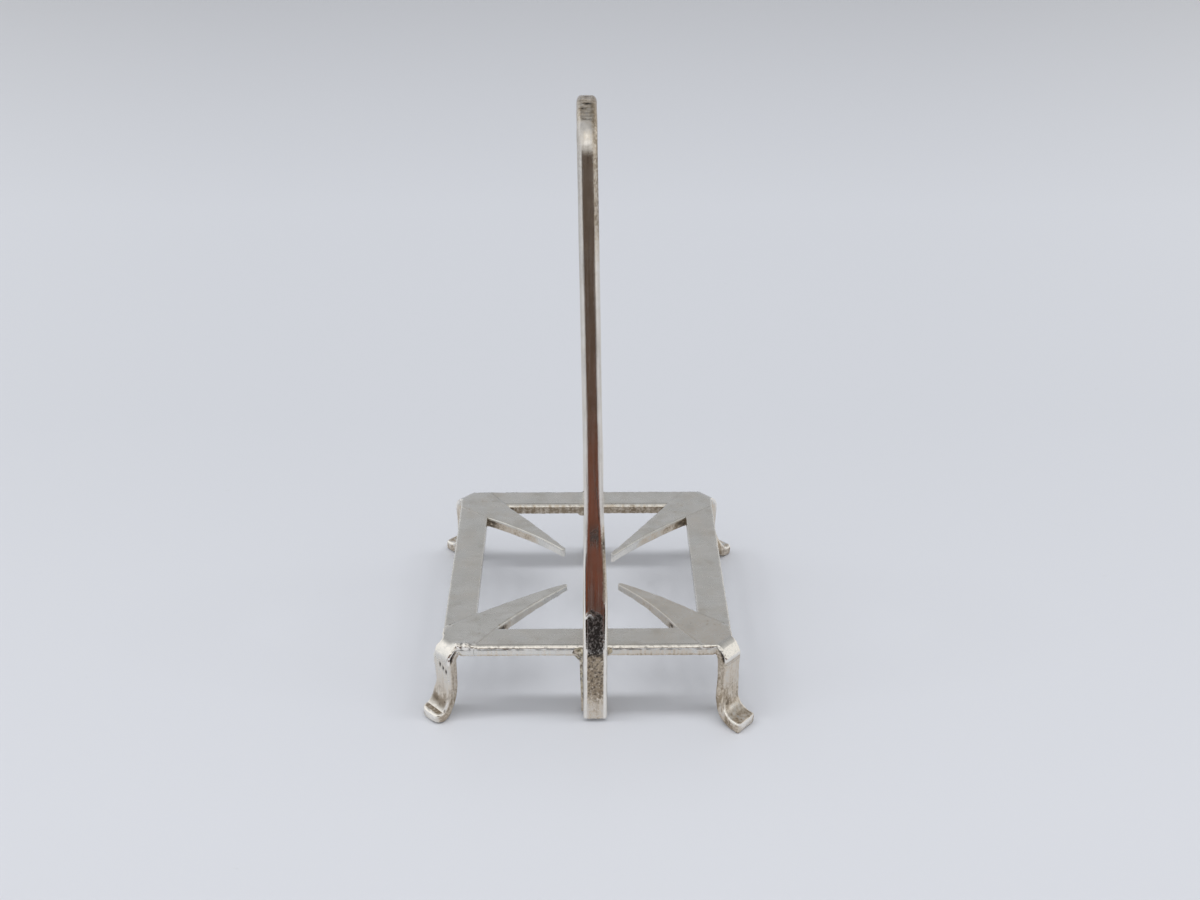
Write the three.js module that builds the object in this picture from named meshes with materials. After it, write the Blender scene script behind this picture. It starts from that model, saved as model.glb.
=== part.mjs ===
// A miniature hanging trivet: a square frame of flat rails on four bent legs, with a pointed arm at
// each corner and a tall hoop handle. Millimetres, +Z up. The origin lies on the surface it stands on,
// under the middle of the frame. The front is -Y.

import * as THREE from 'three';

// Frame
const frameWidth = 30; // left to right, over the outer edges
const frameDepth = 30; // front to back, over the outer edges
const frameTop = 9; // top face above the surface it stands on
const sheet = 1.25; // thickness of the rails, corner strips and lugs
const sideRailWidth = 3.25; // left and right rails
const endRailWidth = 3; // front and rear rails
const seam = 0.03; // width of a solder seam between two pieces
const edgeBreak = 0.1; // filed edges of the sheet pieces

// Corner strips: the arm that points inwards and the leg that is bent down over the corner
const armTipWidth = 0.55;
const armBaseWidth = 3.4; // where the arm leaves the rails
const armBaseSetback = 6.3; // from the frame's corner to the arm's base, along the diagonal
const shoulderWidth = 4.7; // where the strip crosses the frame's outer edges
const legWidth = 2.36;
const footWidth = 2.75;
const bendInner = 0.4; // inner radius of the bend over the corner
const legProud = 0.14; // the leg's outer face beyond the frame's corner, along the diagonal
const kneeHeight = 4.5; // where the leg starts to curve out
const kneeEase = 0.62; // how far the curve keeps to the leg, as a share of the way down
const soleEase = 0.55; // how far the curve keeps to the sole, as a share of the way back
const footFlat = 0.8; // length of the flat sole

// Each corner was cut, filed and bent by hand, so each has its own arm and foot. Lengths run from
// the frame's corner along the diagonal. Shifts and bows run sideways, counterclockwise from above.
const frontLeft = {
  name: 'front_left',
  sideX: -1,
  sideY: -1,
  armLength: 16.7,
  armShift: 1.33, // of the arm's tip
  armBow: -0.2, // of the arm's middle
  armTaper: 1, // above 1 the arm's sides are hollow
  tipThickness: 0.75,
  footReach: 1.75,
  footShift: -0.5,
};
const frontRight = {
  name: 'front_right',
  sideX: 1,
  sideY: -1,
  armLength: 15.9,
  armShift: -0.4,
  armBow: 0.35,
  armTaper: 1.25,
  tipThickness: 0.75,
  footReach: 2.8,
  footShift: -0.6,
};
const rearRight = {
  name: 'rear_right',
  sideX: 1,
  sideY: 1,
  armLength: 18.1,
  armShift: -0.85,
  armBow: 0.15,
  armTaper: 1.5,
  tipThickness: 1.1,
  footReach: 2.1,
  footShift: -0.9,
};
const rearLeft = {
  name: 'rear_left',
  sideX: -1,
  sideY: 1,
  armLength: 17.5,
  armShift: -0.1,
  armBow: -0.25,
  armTaper: 1.35,
  tipThickness: 1.05,
  footReach: 2.7,
  footShift: -0.3,
};
const corners = [frontLeft, frontRight, rearRight, rearLeft];

// Hoop handle: one bar, bent round at the crown and slightly where it passes the frame
const totalHeight = 61.3;
const hoopThickness = 1.2;
const hoopEndWidth = 2.5; // beside the frame
const hoopCrownWidth = 1.92;
const hoopEndBevel = 0.3;
const hoopCrownBevel = 0.5;
const crownRadius = 5.2; // to the outer face
const kinkRise = 0.25; // the bend beside the frame, above the frame's top
const kinkRadius = 1.2; // to the middle of the bar
const hoopEndClear = 0.4; // both ends stay this far above the surface
const hoopOffset = 0.8; // the hoop stands to the right of the frame's middle
const hoopLean = 0.92; // degrees, to the left
const leanRise = 7; // the bar starts to lean this far above the frame's top
const taperRise = 3.75; // the bar starts to narrow this far above the frame's top
const taperLength = 13;

// Lugs under the end rails, behind the hoop's ends
const lugInset = 0.05; // from the hoop's right side to the lug's
const frontLugWidth = 2.8;
const frontLugEndWidth = 2.65;
const frontLugFlare = 0.6; // on the left, where the lug flares into the rail
const rearLugWidth = 2.25; // below its shoulder
const rearLugEndWidth = 2.2;
const shoulderLugWidth = 3.03; // the rear lug's shoulder, right under the rail
const shoulderDrop = 1.35;
const shoulderRound = 0.3; // radius of its lower left corner

// Solder fillets in the corners between the hoop's ends, the rails and the lugs. Each level has its
// place below the frame's top, its width along the rail's edge and how proud it stands of that edge.
// The front left one has a thin tail down the lug, and the rear left one ends on the lug's shoulder.
const leftSolderTailEnd = { below: 7, width: 0.14, proud: 0.14 };
const leftSolderTail = { below: 4.4, width: 0.28, proud: 0.28 };
const leftSolderNeck = { below: 1.85, width: 0.28, proud: 0.4 };
const leftSolderFlare = { below: 1.25, width: 0.77, proud: 0.5 };
const leftSolderBelly = { below: 0.65, width: 1.1, proud: 0.5 };
const leftSolderTop = { below: 0.1, width: 0.66, proud: 0.3 };
const leftSolderShoulderEnd = { below: 2.35, width: 0.28, proud: 0.2 };
const frontLeftSolder = [
  leftSolderTailEnd,
  leftSolderTail,
  leftSolderNeck,
  leftSolderFlare,
  leftSolderBelly,
  leftSolderTop,
];
const rearLeftSolder = [leftSolderShoulderEnd, leftSolderFlare, leftSolderBelly, leftSolderTop];
const rightSolderEnd = { below: 1.15, width: 0.25, proud: 0.17 };
const rightSolderBelly = { below: 0.65, width: 0.5, proud: 0.35 };
const rightSolderTop = { below: 0.1, width: 0.25, proud: 0.17 };
const rightSolder = [rightSolderEnd, rightSolderBelly, rightSolderTop];
const solderHollow = 0.3; // depth of the fillet's hollow face, as a share of its width and proud

const wornSilver = { color: new THREE.Color(0.76, 0.75, 0.73), roughness: 0.4 };
const brightSilver = { color: new THREE.Color(0.78, 0.76, 0.74), roughness: 0.22 };
const tarnishedSilver = { color: new THREE.Color(0.66, 0.62, 0.56), roughness: 0.45 };
const dullSolder = { color: new THREE.Color(0.6, 0.56, 0.44), roughness: 0.55 };

const smooth = (value) => THREE.MathUtils.smoothstep(value, 0, 1);
const mix = THREE.MathUtils.lerp;

// A closed solid through a row of sections. Each section is a ring of points, with as many points as
// the others, and runs counterclockwise seen from the row's end.
function loft(sections) {
  const ring = sections[0].length;
  const positions = sections.flat().flatMap((point) => [point.x, point.y, point.z]);
  const indices = [];
  for (let step = 0; step < sections.length - 1; step += 1) {
    for (let side = 0; side < ring; side += 1) {
      const a = step * ring + side;
      const b = step * ring + ((side + 1) % ring);
      indices.push(a, b, b + ring, a, b + ring, a + ring);
    }
  }
  const last = (sections.length - 1) * ring;
  for (let side = 1; side < ring - 1; side += 1) {
    indices.push(0, side + 1, side);
    indices.push(last, last + side, last + side + 1);
  }
  const geometry = new THREE.BufferGeometry();
  geometry.setAttribute('position', new THREE.Float32BufferAttribute(positions, 3));
  geometry.setIndex(indices);
  geometry.computeVertexNormals();
  return geometry;
}

// A bar's section: a rectangle between two distances along `across`, with cut or rounded edges.
function barSection(centre, across, up, low, high, thickness, edge, edgeSteps) {
  const points = [];
  const middle = (low + high) / 2;
  const halfWidth = (high - low) / 2;
  for (let corner = 0; corner < 4; corner += 1) {
    const signAcross = corner === 0 || corner === 3 ? 1 : -1;
    const signUp = corner < 2 ? 1 : -1;
    for (let step = 0; step <= edgeSteps; step += 1) {
      const angle = (corner + step / edgeSteps) * (Math.PI / 2);
      const along = middle + signAcross * (halfWidth - edge) + edge * Math.cos(angle);
      const rise = signUp * (thickness / 2 - edge) + edge * Math.sin(angle);
      points.push(centre.clone().addScaledVector(across, along).addScaledVector(up, rise));
    }
  }
  return points;
}

// The place of a corner strip's edge, as a distance along the frame's edge from the frame's corner,
// at some distance inwards from that edge.
function seamPlace(inwards) {
  const shoulderAlong = shoulderWidth / Math.SQRT2;
  const baseAlong = (armBaseSetback + armBaseWidth / 2) / Math.SQRT2;
  const baseInwards = (armBaseSetback - armBaseWidth / 2) / Math.SQRT2;
  const slope = (baseAlong - shoulderAlong) / baseInwards;
  return shoulderAlong + slope * inwards + seam * Math.hypot(1, slope);
}

// A flat plate of the sheet, with its edges filed, lying with its top at z = 0.
function sheetPlate(shape) {
  const geometry = new THREE.ExtrudeGeometry(shape, {
    depth: sheet - 2 * edgeBreak,
    bevelEnabled: true,
    bevelThickness: edgeBreak,
    bevelSize: edgeBreak,
    bevelOffset: -edgeBreak,
    bevelSegments: 1,
  });
  geometry.translate(0, 0, edgeBreak - sheet);
  return geometry;
}

// A rail along the front edge of a frame of the given length, its outer edge at y = 0.
function railGeometry(length, width) {
  const outer = length / 2 - seamPlace(0);
  const inner = length / 2 - seamPlace(width);
  const shape = new THREE.Shape();
  shape.moveTo(-outer, 0);
  shape.lineTo(outer, 0);
  shape.lineTo(inner, width);
  shape.lineTo(-inner, width);
  shape.closePath();
  return sheetPlate(shape);
}

// The corner strip's middle line and width, from the arm's tip to the end of the foot. Distances
// run outwards from the frame's corner along the diagonal.
function stripStations(corner) {
  const stations = [];
  const arm = [];
  const tipRound = armTipWidth / 2;
  const tipSteps = 3;
  for (let step = 1; step <= tipSteps; step += 1) {
    const angle = (step / tipSteps) * (Math.PI / 2);
    const out = -corner.armLength + tipRound * (1 - Math.cos(angle));
    arm.push({ out, width: armTipWidth * Math.sin(angle) });
  }
  const armSteps = 8;
  for (let step = 1; step <= armSteps; step += 1) {
    const share = step / armSteps;
    const out = mix(-corner.armLength + tipRound, -armBaseSetback, share);
    arm.push({ out, width: mix(armTipWidth, armBaseWidth, share ** corner.armTaper) });
  }
  for (const { out, width } of arm) {
    const share = (out + armBaseSetback) / (armBaseSetback - corner.armLength);
    const shift = corner.armShift * share + 4 * corner.armBow * share * (1 - share);
    const thickness = mix(sheet, corner.tipThickness, share);
    stations.push({ out, height: frameTop - thickness / 2, pitch: 0, width, shift, thickness });
  }
  const flat = { height: frameTop - sheet / 2, pitch: 0, shift: 0, thickness: sheet };
  stations.push({ ...flat, out: -shoulderWidth / 2, width: shoulderWidth });

  const bendOuter = bendInner + sheet;
  const bendMiddle = bendInner + sheet / 2;
  const bendOut = legProud - bendOuter;
  const bendSteps = 8;
  for (let step = 0; step <= bendSteps; step += 1) {
    const pitch = (step / bendSteps) * (Math.PI / 2);
    const out = bendOut + bendMiddle * Math.sin(pitch);
    const height = frameTop - bendOuter + bendMiddle * Math.cos(pitch);
    const width = Math.max(legWidth, -2 * (bendOut + bendOuter * Math.sin(pitch)));
    stations.push({ out, height, pitch, width, shift: 0, thickness: sheet });
  }

  const legMiddle = bendOut + bendMiddle;
  const toeOut = corner.footReach - footFlat;
  const curve = new THREE.CubicBezierCurve(
    new THREE.Vector2(legMiddle, kneeHeight),
    new THREE.Vector2(legMiddle, mix(kneeHeight, sheet / 2, kneeEase)),
    new THREE.Vector2(mix(toeOut, legMiddle, soleEase), sheet / 2),
    new THREE.Vector2(toeOut, sheet / 2),
  );
  const curveSteps = 14;
  for (let step = 0; step <= curveSteps; step += 1) {
    const share = step / curveSteps;
    const point = curve.getPoint(share);
    const tangent = curve.getTangent(share);
    stations.push({
      out: point.x,
      height: point.y,
      pitch: Math.atan2(-tangent.y, tangent.x),
      width: mix(legWidth, footWidth, smooth(share)),
      shift: corner.footShift * smooth(share),
      thickness: sheet,
    });
  }
  const toe = { height: sheet / 2, pitch: 0, width: footWidth, shift: corner.footShift, thickness: sheet };
  stations.push({ ...toe, out: corner.footReach });
  return stations;
}

function stripGeometry(corner) {
  const frameCorner = new THREE.Vector3((corner.sideX * frameWidth) / 2, (corner.sideY * frameDepth) / 2, 0);
  const outwards = new THREE.Vector3(corner.sideX, corner.sideY, 0).normalize();
  const upwards = new THREE.Vector3(0, 0, 1);
  const across = upwards.clone().cross(outwards);
  const sections = stripStations(corner).map((station) => {
    const centre = frameCorner.clone().addScaledVector(outwards, station.out);
    centre.z = station.height;
    const face = outwards.clone().multiplyScalar(Math.sin(station.pitch));
    face.addScaledVector(upwards, Math.cos(station.pitch));
    const low = station.shift - station.width / 2;
    const high = station.shift + station.width / 2;
    return barSection(centre, across, face, low, high, station.thickness, edgeBreak, 1);
  });
  return loft(sections);
}

// The hoop's middle line in the plane across the frame, from the front end to the rear end. The
// tilt turns its outer face from level, to the front, up to the crown and on to the rear.
function hoopStations() {
  const foot = frameDepth / 2 + seam + hoopThickness / 2;
  const kinkHeight = frameTop + kinkRise;
  const crownHeight = totalHeight - crownRadius;
  const crownMiddle = crownRadius - hoopThickness / 2;
  const rise = crownHeight - kinkHeight;
  const lean = Math.atan2(foot, rise) - Math.asin(crownMiddle / Math.hypot(foot, rise));
  const half = [];
  half.push({ y: -foot, z: hoopEndClear, tilt: 0 });
  const kinkReach = kinkRadius * Math.tan(lean / 2);
  const kinkSteps = 4;
  for (let step = 0; step <= kinkSteps; step += 1) {
    const tilt = (step / kinkSteps) * lean;
    const y = -foot + kinkRadius * (1 - Math.cos(tilt));
    const z = kinkHeight - kinkReach + kinkRadius * Math.sin(tilt);
    half.push({ y, z, tilt });
  }
  const bendEnd = half.at(-1);
  const crownStart = { y: -crownMiddle * Math.cos(lean), z: crownHeight + crownMiddle * Math.sin(lean) };
  const legSteps = 14;
  for (let step = 1; step <= legSteps; step += 1) {
    const share = step / legSteps;
    half.push({ y: mix(bendEnd.y, crownStart.y, share), z: mix(bendEnd.z, crownStart.z, share), tilt: lean });
  }
  const crownSteps = 12;
  for (let step = 1; step <= crownSteps; step += 1) {
    const tilt = mix(lean, Math.PI / 2, step / crownSteps);
    half.push({ y: -crownMiddle * Math.cos(tilt), z: crownHeight + crownMiddle * Math.sin(tilt), tilt });
  }
  const rear = half.slice(0, -1).reverse();
  return half.concat(rear.map(({ y, z, tilt }) => ({ y: -y, z, tilt: Math.PI - tilt })));
}

// How far up its taper the bar is at a height: 0 beside the frame and 1 where it is narrow.
const taperShare = (height) => smooth((height - frameTop - taperRise) / taperLength);

// Sideways place of the hoop's middle at a height.
function hoopMiddle(height) {
  const lifted = Math.max(0, height - frameTop - leanRise);
  return hoopOffset - lifted * Math.tan(THREE.MathUtils.degToRad(hoopLean));
}

function hoopGeometry() {
  const across = new THREE.Vector3(1, 0, 0);
  const sections = hoopStations().map(({ y, z, tilt }) => {
    const centre = new THREE.Vector3(hoopMiddle(z), y, z);
    const face = new THREE.Vector3(0, -Math.cos(tilt), Math.sin(tilt));
    const halfWidth = mix(hoopEndWidth, hoopCrownWidth, taperShare(z)) / 2;
    const bevel = mix(hoopEndBevel, hoopCrownBevel, taperShare(z));
    return barSection(centre, across, face, -halfWidth, halfWidth, hoopThickness, bevel, 2);
  });
  return loft(sections.reverse());
}

const lugLength = frameTop - sheet - seam - hoopEndClear;

// The front lug's outline, with its top at y = 0 and its right side at x = 0. It flares to the left into
// the rail above it.
function frontLugShape() {
  const shape = new THREE.Shape();
  shape.moveTo(-frontLugWidth - frontLugFlare, 0);
  shape.absarc(-frontLugWidth - frontLugFlare, -frontLugFlare, frontLugFlare, Math.PI / 2, 0, true);
  shape.lineTo(-frontLugEndWidth, -lugLength);
  shape.lineTo(0, -lugLength);
  shape.lineTo(0, 0);
  shape.closePath();
  return shape;
}

// The rear lug's outline, placed in the same way. It has a round shoulder on the left.
function rearLugShape() {
  const shape = new THREE.Shape();
  const roundAt = shoulderRound - shoulderDrop;
  shape.moveTo(-shoulderLugWidth, 0);
  shape.lineTo(-shoulderLugWidth, roundAt);
  shape.absarc(shoulderRound - shoulderLugWidth, roundAt, shoulderRound, Math.PI, 1.5 * Math.PI, false);
  shape.lineTo(-rearLugWidth, -shoulderDrop);
  shape.lineTo(-rearLugEndWidth, -lugLength);
  shape.lineTo(0, -lugLength);
  shape.lineTo(0, 0);
  shape.closePath();
  return shape;
}

// A lug of the sheet. Its outer face lies at y = 0, its top at z = 0 and its right side at x = 0.
function lugGeometry(shape) {
  const roundSteps = 6;
  const geometry = new THREE.ExtrudeGeometry(shape, {
    depth: sheet,
    bevelEnabled: false,
    curveSegments: roundSteps,
  });
  geometry.rotateX(Math.PI / 2);
  geometry.translate(0, sheet, 0);
  return geometry;
}

// A hollow fillet of solder along z. It lies in the corner at x = 0 and y = 0 and runs along -X and -Y.
function solderGeometry(levels) {
  const sections = levels.map(({ below, width, proud }) => {
    const height = frameTop - below;
    return [
      new THREE.Vector3(0, 0, height),
      new THREE.Vector3(-width, 0, height),
      new THREE.Vector3(-width * solderHollow, -proud * solderHollow, height),
      new THREE.Vector3(0, -proud, height),
    ];
  });
  return loft(sections);
}

const trivet = new THREE.Group();

function addPiece(name, geometry, finish, parent = trivet) {
  const material = new THREE.MeshStandardMaterial({ ...finish, metalness: 1 });
  const mesh = new THREE.Mesh(geometry, material);
  mesh.name = name;
  parent.add(mesh);
  return mesh;
}

function addRails() {
  const sides = [
    { name: 'front_rail', turn: 0, length: frameWidth, width: endRailWidth, reach: frameDepth / 2 },
    { name: 'right_rail', turn: 1, length: frameDepth, width: sideRailWidth, reach: frameWidth / 2 },
    { name: 'rear_rail', turn: 2, length: frameWidth, width: endRailWidth, reach: frameDepth / 2 },
    { name: 'left_rail', turn: 3, length: frameDepth, width: sideRailWidth, reach: frameWidth / 2 },
  ];
  for (const side of sides) {
    const turned = new THREE.Group();
    turned.rotation.z = (side.turn * Math.PI) / 2;
    trivet.add(turned);
    const rail = addPiece(side.name, railGeometry(side.length, side.width), wornSilver, turned);
    rail.position.set(0, -side.reach, frameTop);
  }
}

function addCornerStrips() {
  for (const corner of corners) {
    addPiece(`${corner.name}_leg`, stripGeometry(corner), wornSilver);
  }
}

function addHoop() {
  addPiece('hoop_handle', hoopGeometry(), brightSilver);
}

// The lug and the solder at one end of the hoop. The rear end is mirrored, with a lug of its own shape.
function addHoopSeat(end, lugShape, leftSolder) {
  const mirror = end === 'rear' ? -1 : 1;
  const toSeat = (geometry, flipX, x, y) => {
    geometry.scale(flipX, mirror, 1);
    if (flipX * mirror < 0) {
      flipFaces(geometry);
    }
    geometry.translate(x, y * mirror, 0);
    return geometry;
  };
  const lug = lugGeometry(lugShape);
  lug.translate(0, 0, frameTop - sheet - seam);
  const lugSide = hoopOffset + hoopEndWidth / 2 - lugInset;
  addPiece(`${end}_lug`, toSeat(lug, 1, lugSide, -frameDepth / 2), tarnishedSilver);
  const barSide = hoopEndWidth / 2 + seam;
  const face = -frameDepth / 2 - seam;
  const left = toSeat(solderGeometry(leftSolder), 1, hoopOffset - barSide, face);
  const right = toSeat(solderGeometry(rightSolder), -1, hoopOffset + barSide, face);
  addPiece(`${end}_left_solder`, left, dullSolder);
  addPiece(`${end}_right_solder`, right, dullSolder);
}

// Turns every triangle over, after a mirrored scale.
function flipFaces(geometry) {
  if (geometry.index) {
    const index = geometry.index;
    for (let corner = 0; corner < index.count; corner += 3) {
      const second = index.getX(corner + 1);
      index.setX(corner + 1, index.getX(corner + 2));
      index.setX(corner + 2, second);
    }
  } else {
    const position = geometry.attributes.position;
    const second = new THREE.Vector3();
    const third = new THREE.Vector3();
    for (let corner = 0; corner < position.count; corner += 3) {
      second.fromBufferAttribute(position, corner + 1);
      third.fromBufferAttribute(position, corner + 2);
      position.setXYZ(corner + 1, third.x, third.y, third.z);
      position.setXYZ(corner + 2, second.x, second.y, second.z);
    }
  }
  geometry.computeVertexNormals();
}

addRails();
addCornerStrips();
addHoop();
addHoopSeat('front', frontLugShape(), frontLeftSolder);
addHoopSeat('rear', rearLugShape(), rearLeftSolder);

export default trivet;
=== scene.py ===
"""The looks of the miniature hanging trivet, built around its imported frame.

Shapes are worked out in millimetres in the frame's own axes and become metres when a mesh is made.
The front is -Y, and the surface that the feet stand on is z = 0.
"""

import math
from types import SimpleNamespace

import bpy
import numpy as np
from mathutils import Matrix, Vector, noise


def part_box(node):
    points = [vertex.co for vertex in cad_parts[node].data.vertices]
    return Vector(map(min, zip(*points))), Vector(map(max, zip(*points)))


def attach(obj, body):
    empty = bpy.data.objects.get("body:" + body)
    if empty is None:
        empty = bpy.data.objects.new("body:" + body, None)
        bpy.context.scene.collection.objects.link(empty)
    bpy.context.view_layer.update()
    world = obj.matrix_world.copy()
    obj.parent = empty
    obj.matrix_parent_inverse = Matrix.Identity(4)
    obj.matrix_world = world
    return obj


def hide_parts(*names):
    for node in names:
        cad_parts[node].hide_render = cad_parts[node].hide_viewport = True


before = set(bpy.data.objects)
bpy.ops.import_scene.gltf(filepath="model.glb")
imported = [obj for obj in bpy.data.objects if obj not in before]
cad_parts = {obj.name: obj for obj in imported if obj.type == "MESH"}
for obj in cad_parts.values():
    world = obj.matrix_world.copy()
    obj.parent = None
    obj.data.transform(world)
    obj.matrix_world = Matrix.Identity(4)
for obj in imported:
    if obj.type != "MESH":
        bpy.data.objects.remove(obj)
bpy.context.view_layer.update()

MM = 0.001


def box_mm(node):
    """A node's lowest and highest corners, in millimetres."""
    low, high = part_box(node)
    return np.array(low) / MM, np.array(high) / MM


# Sizes that the frame gives
left_low, left_high = box_mm("left_rail")
front_low, front_high = box_mm("front_rail")
hoop_low, hoop_high = box_mm("hoop_handle")
lug_high = box_mm("front_lug")[1]
rear_lug_low, rear_lug_high = box_mm("rear_lug")
HALF_WIDTH = -left_low[0]
HALF_DEPTH = -front_low[1]
FRAME_TOP = left_high[2]
SHEET = left_high[2] - left_low[2]
SIDE_RAIL_WIDTH = left_high[0] - left_low[0]
END_RAIL_WIDTH = front_high[1] - front_low[1]
HOOP_TOP = hoop_high[2]
HOOP_END = hoop_low[2]
LUG_RIGHT = lug_high[0]
LUG_TOP = lug_high[2]

# Rails and corner strips
SEAM = 0.03  # gap between the frame and the hoop's ends
SEAM_LINE = 0.004  # gap that stays open along the seams between the rails and the strips
FILED_FLAT = 0.75  # how flat a filed top edge is, from a round 0 to a chamfer 1
SEAM_EDGE = 0.02  # edge radius along a soldered seam
FILED_EDGE = 0.12  # edge radius where the sheet was filed
FRONT_ARRIS = 0.27  # top edge radius along the frame's front
INNER_ARRIS = 0.34  # top edge radius along the rear rail's inner side
SIDE_ARRIS = 0.1  # top edge radius along the outside of the other rails
SOFT_EDGE = 0.06  # top edge radius along the inner side of the other rails
ARM_TIP_WIDTH = 0.55
ARM_BASE_WIDTH = 3.4
ARM_BASE_SETBACK = 6.3
SHOULDER_WIDTH = 4.7
LEG_WIDTH = 2.36
FOOT_WIDTH = 2.75
BEND_INNER = 0.4
LEG_PROUD = 0.14
KNEE_HEIGHT = 4.5
KNEE_EASE = 0.62
SOLE_EASE = 0.55
FOOT_FLAT = 0.8
LEG_EDGE = 0.3  # edge radius down the leg
CREASE_DEPTH = 0.24  # of the crease in a front leg's sides
DROPS_ALONG = (-13.35, -12.5)  # melted drops on the front edge, from the frame's middle
DROP_INWARDS = 0.2
DROP_SIZE = (0.36, 0.42, 0.36)
DROP_RISE = 0.32
FOLD_ASIDE = 0.43  # from a drop's middle to the fold beside it
FOLD_LOWERED = 0.1
FOLD_SIZE = (0.1, 0.4, 0.4)
FOLD_DEPTH = 0.06
NICKS = ((-0.16, 6.78), (0.3, 6.52), (0.76, 6.25))  # in the front left leg: place across it and height
NICK_PROUD = 0.1
NICK_SIZE = (0.1, 0.1, 0.24)
NICK_DEPTH = 0.1

REAR_LOOKS = dict(facet=0, crease=0, brown=0.2, foot_brown=0.1, lumps=0, arm_edge=0.12, arm_marks=1, stain=0)
# What differs from corner to corner. side is where it lies, and stain which edge of the foot is stained.
CORNERS = {
    "front_left": SimpleNamespace(
        side=(-1, -1), arm_length=16.7, arm_shift=1.33, arm_bow=-0.2, arm_taper=1.0, tip=0.75,
        foot_reach=1.75, foot_shift=-0.5, toe_round=0.75, facet=0, crease=1, brown=0.26, foot_brown=0.6,
        lumps=1, arm_edge=0.12, arm_marks=0.25, stain=1,
    ),
    "front_right": SimpleNamespace(
        side=(1, -1), arm_length=15.9, arm_shift=-0.4, arm_bow=0.35, arm_taper=1.25, tip=0.75,
        foot_reach=2.8, foot_shift=-0.6, toe_round=0.15, facet=1, crease=1, brown=0.4, foot_brown=0.14,
        lumps=0.35, arm_edge=0.05, arm_marks=0.1, stain=-1,
    ),
    "rear_right": SimpleNamespace(
        side=(1, 1), arm_length=18.1, arm_shift=-0.85, arm_bow=0.15, arm_taper=1.5, tip=1.1,
        foot_reach=2.1, foot_shift=-0.9, toe_round=0.4, **REAR_LOOKS,
    ),
    "rear_left": SimpleNamespace(
        side=(-1, 1), arm_length=17.5, arm_shift=-0.1, arm_bow=-0.25, arm_taper=1.35, tip=1.05,
        foot_reach=2.7, foot_shift=-0.3, toe_round=0.35, **REAR_LOOKS,
    ),
}
# How much the top outer edge was rubbed bright and painted with a highlight, by side from the front
# counterclockwise
RUBBED_AND_HIGHLIGHT = (1, 0.2, 0, 0.2)
# The flat facet across the bend of a corner with facet 1, as pitches of the bend, and the folds below it
FACET_PITCHES = (math.radians(34), math.radians(74))
FACET_END = 7.3
SECOND_FOLD = 7.0
FACET_FOLD_DEPTH = 0.04

# Hoop handle
HOOP_THICKNESS = 1.2
HOOP_END_WIDTH = 2.5
HOOP_CROWN_WIDTH = 1.92
HOOP_END_EDGE = 0.35
HOOP_BAR_EDGE = 0.5
HOOP_CROWN_EDGE = 0.52
HOOP_CROWN_RISE = 0.57
CROWN_ROUNDING_START = 22
CROWN_ROUNDING_LENGTH = 26
CROWN_RADIUS = 5.2
KINK_RISE = 0.25
KINK_RADIUS = 1.2
HOOP_OFFSET = 0.8
HOOP_LEAN = math.radians(0.92)
LEAN_RISE = 7
TAPER_RISE = 3.75
TAPER_LENGTH = 13
# Tilts of the crown's face, in degrees, where a hammer left a dark mark across it
HAMMER_TILTS = (52, 56.5, 61, 66, 74, 87)
HAMMER_DEPTH = 0.03
# Marks on the hoop's front, among them painted dark reflections, by height and by place across
SCALE_FOOT = 8.2
SCALE_ABOVE_FRAME = 4.2
SCALE_LEFT = 0.82
SCALE_RIGHT = 0.8
BLISTER_ACROSS = -0.55
BLISTER_HEIGHT = 12.7
BLISTER_STRETCH = 1.5
BLISTER_RADIUS = 0.36
BLISTER_RIM = 0.09
BLISTER_RELIEF = 0.06
SPECKS_HEIGHT = 17.4
DARK_REFLECTION_HEIGHT = 21.3
SCRATCH_FOOT = 22.8
SCRATCH_LENGTH = 3.9
RIGHT_STAIN = (13.5, 22.8)

# Lugs: width at the top and at the end, the front one's flare and the rear one's shoulder
FRONT_LUG = (2.8, 2.65)
LUG_FLARE = 0.6
REAR_LUG = (2.25, 2.2)
SHOULDER_LUG_WIDTH = rear_lug_high[0] - rear_lug_low[0]
SHOULDER_DROP = 1.35
SHOULDER_ROUND = 0.3

# Camera: where the photograph was taken from
CAMERA_PLACE = (-0.2, -124.2, 95.4)
CAMERA_PITCH = 30.05
CAMERA_YAW = 0.75
CAMERA_ROLL = -0.17
FOCAL_SHARE = 1345 / 1200  # focal length as a share of the picture's width

STEP = 0.12  # spacing of the rings of a mesh
SHARP_ANGLE = math.radians(50)  # edges that turn more than this are shaded sharp


def add_object(name, data):
    """An object in the scene that holds the data."""
    made = bpy.data.objects.new(name, data)
    bpy.context.scene.collection.objects.link(made)
    return made


def add_camera():
    data = bpy.data.cameras.new("camera")
    data.sensor_fit = "HORIZONTAL"
    data.lens = data.sensor_width * FOCAL_SHARE
    data.clip_start = 0.01
    camera = add_object("camera", data)
    level = Matrix.Rotation(math.radians(-CAMERA_YAW), 4, "Z")
    tilt = Matrix.Rotation(math.radians(90 - CAMERA_PITCH), 4, "X")
    roll = Matrix.Rotation(math.radians(-CAMERA_ROLL), 4, "Z")
    camera.matrix_world = Matrix.Translation(Vector(CAMERA_PLACE) * MM) @ level @ tilt @ roll
    bpy.context.scene.camera = camera


def smooth(value):
    share = np.clip(value, 0, 1)
    return share * share * (3 - 2 * share)


def hump(value, centre, width):
    """1 at the centre, falling off to 0 on both sides."""
    return np.exp(-(((value - centre) / width) ** 2))


def mix(a, b, share):
    return a + (b - a) * share


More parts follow.
